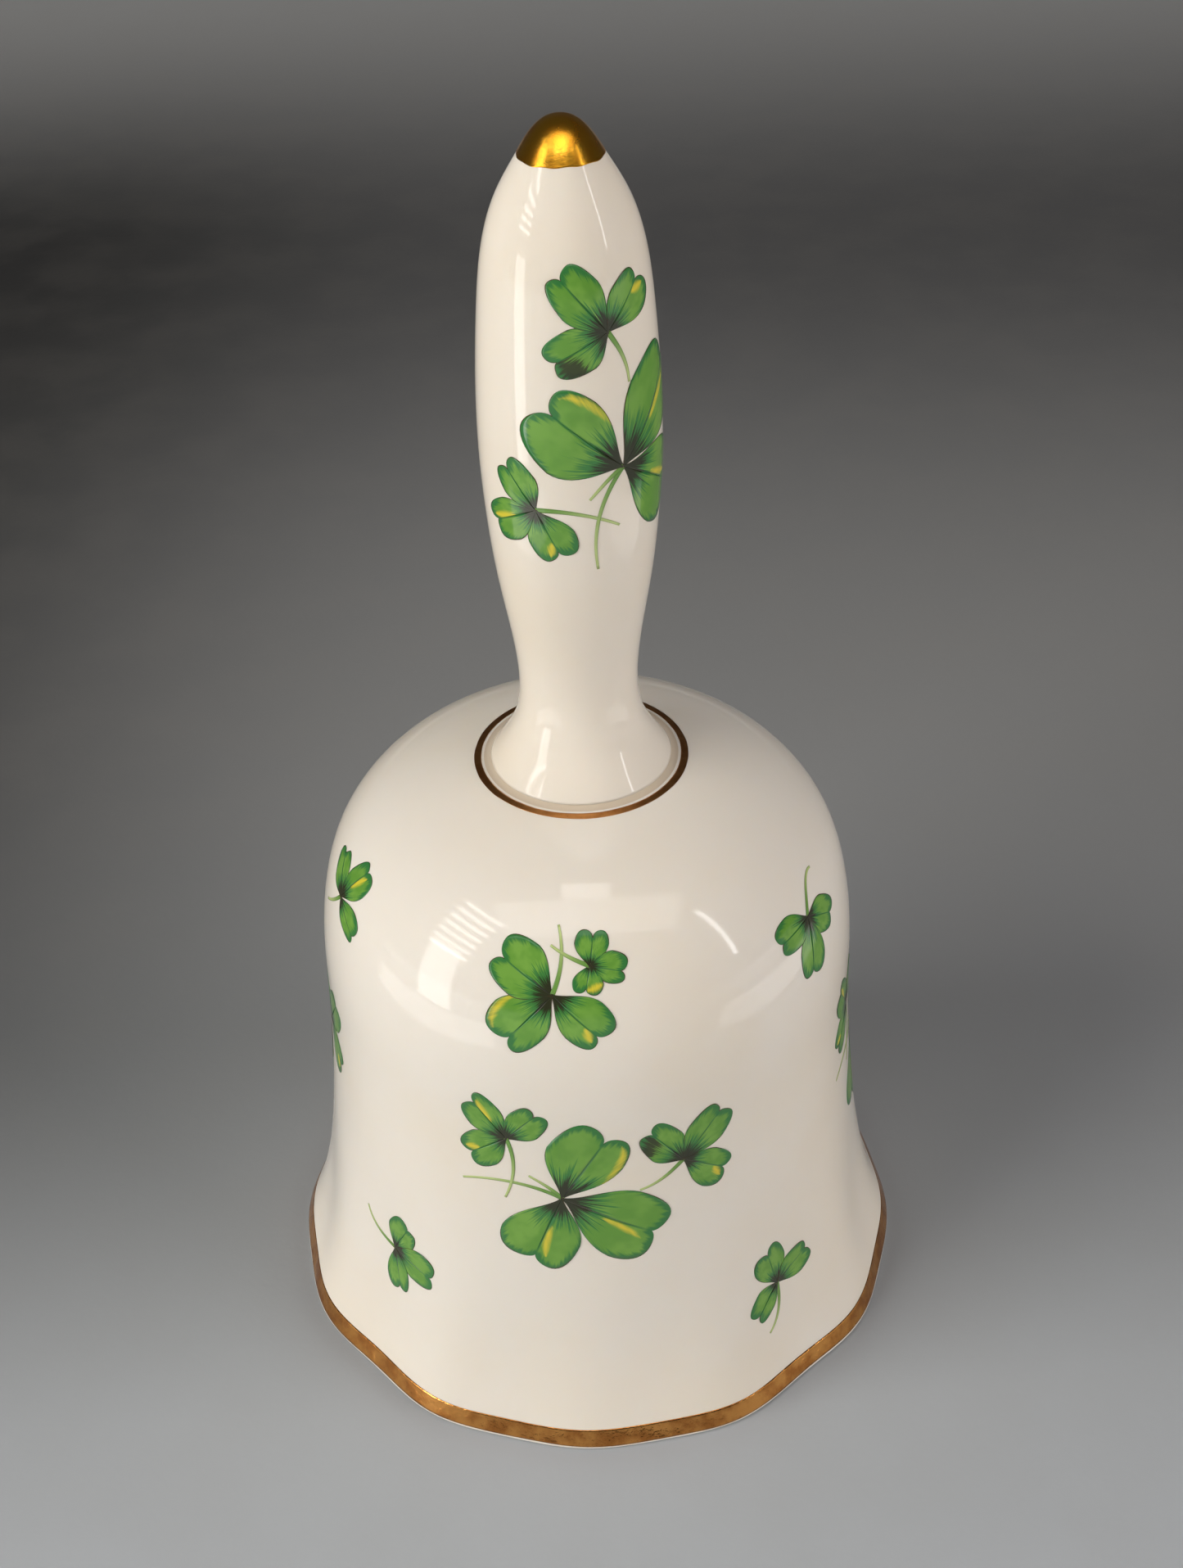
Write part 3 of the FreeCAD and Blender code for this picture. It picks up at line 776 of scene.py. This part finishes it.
def make_camera():
    """The camera, looking down at the bell from the front."""
    forward = Vector((math.sin(CAMERA_YAW) * math.cos(CAMERA_PITCH),
                      math.cos(CAMERA_YAW) * math.cos(CAMERA_PITCH), -math.sin(CAMERA_PITCH)))
    right = forward.cross(Vector((0, 0, 1))).normalized()
    down = forward.cross(right)
    across = right * math.cos(CAMERA_ROLL) + down * math.sin(CAMERA_ROLL)
    up = right * math.sin(CAMERA_ROLL) - down * math.cos(CAMERA_ROLL)
    data = bpy.data.cameras.new("camera")
    data.lens = CAMERA_LENS
    data.sensor_width = 36.0
    data.clip_start = 0.01
    camera = bpy.data.objects.new("camera", data)
    turn = Matrix((across, up, -forward)).transposed()
    camera.matrix_world = Matrix.Translation(CAMERA_AT) @ turn.to_4x4()
    bpy.context.scene.collection.objects.link(camera)
    bpy.context.scene.camera = camera


def make_light(kind, name, azimuth, elevation, distance, size, power, colour=(1.0, 1.0, 1.0)):
    """A soft panel that faces the bell. Azimuth is from the front towards +X, and power is in watts. A LAMP
    only shades the bell, and a CARD is only mirrored in the glaze and the gilding."""
    data = bpy.data.lights.new(name, "AREA")
    data.shape = "RECTANGLE"
    data.size, data.size_y = size
    data.energy = power
    data.color = colour
    light = bpy.data.objects.new(name, data)
    turn, rise = math.radians(azimuth), math.radians(elevation)
    flat = math.cos(rise)
    towards = Vector((math.sin(turn) * flat, -math.cos(turn) * flat, math.sin(rise)))
    light.location = LIGHTS_AIM + distance * towards
    light.rotation_euler = (LIGHTS_AIM - light.location).to_track_quat("-Z", "Y").to_euler()
    light.visible_glossy = kind == CARD
    light.visible_diffuse = kind == LAMP
    bpy.context.scene.collection.objects.link(light)


def make_floor():
    """The flat surface that the bell stands on."""
    corners = [(FLOOR_HALF * x, FLOOR_HALF * y, 0) for x, y in ((-1, -1), (1, -1), (1, 1), (-1, 1))]
    floor = mesh_object("floor", corners, [(0, 1, 2, 3)], [floor_paint_and_painted_shade()])


def make_room():
    """A dim, even room, which the lights stand in."""
    world = bpy.data.worlds.new("room")
    world.use_nodes = True
    background = world.node_tree.nodes["Background"]
    background.inputs["Color"].default_value = ROOM_COLOUR
    background.inputs["Strength"].default_value = ROOM_STRENGTH
    bpy.context.scene.world = world
    bpy.context.scene.view_settings.view_transform = "Standard"


def make_lights():
    """The lamps, then the cards: a slatted window and a low card on the left, cards beside the rim, a small
    one over the handle's tip, a thin strip on the right, and a broad one above the front."""
    make_light(LAMP, "panel_left", -64, 26, 0.80, (0.55, 0.60), 6.7, WARM)
    make_light(LAMP, "panel_right", 66, 22, 0.80, (0.55, 0.60), 4.1, (1.0, 0.95, 0.93))
    make_light(LAMP, "panel_front", 4, 50, 0.90, (0.60, 0.34), 0.15, (1.0, 0.98, 0.95))
    make_light(LAMP, "panel_back", 180, 4, 0.90, (0.90, 0.14), 1.2)
    for slat in range(7):
        make_light(CARD, "window_slat_%d" % slat, -62, 18 + 5 * slat, 0.75, (0.24, 0.028), 0.12, WARM)
    make_light(CARD, "card_left", -60, 0, 0.20, (0.05, 0.13), 0.075, WARM)
    make_light(CARD, "card_low_left", -60, -24, 0.142, (0.12, 0.022), 0.010, WARM)
    make_light(CARD, "card_low_right", 72, -24, 0.142, (0.12, 0.022), 0.008, WARM)
    make_light(CARD, "card_tip", 0, 73, 0.12, (0.034, 0.022), 0.006, WARM)
    make_light(CARD, "strip_right", 62, 26, 0.70, (0.024, 0.45), 0.26)
    make_light(CARD, "card_front", 2, 64, 0.80, (1.00, 0.34), 1.50, WARM)


# ---------------------------------------------------------------- the bell
make_camera()
leaf_material = leaf_print()
stem_material = stem_print()
make_body()
make_handle()
gilt_band("gilt_rim", *RIM_GILT, RIM_WANDER, RIM_GILT_ROWS, gilt("gilt_rim", *GOLD_RIM))
crown_band = [body_outline.distance[-1] - (radius - BODY_OUTLINE[-1][0]) for radius in CROWN_GILT]
gilt_band("gilt_ring", *crown_band, RING_WANDER, RING_GILT_ROWS, gilt("gilt_ring", *GOLD_RING))
gilt_tip()
for item in PRINTS:
    make_print(*item)

metal = brass()
# the foot bead's darker colour is partly a stain and partly painted shade
finishes = {"foot_bead": china("bead_glaze", BEAD_STAIN_AND_SHADE, 31.0),
            "crown_plug": plaster(),
            "hanger_staple": metal, "hanger_link": metal, "clapper_wire": metal,
            "clapper_ball": china("clapper_glaze", BODY_COLOUR, 23.0)}
for node, material in finishes.items():
    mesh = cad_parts[node].data
    mesh.materials.clear()
    mesh.materials.append(material)

make_floor()
make_room()
make_lights()
bpy.context.view_layer.update()
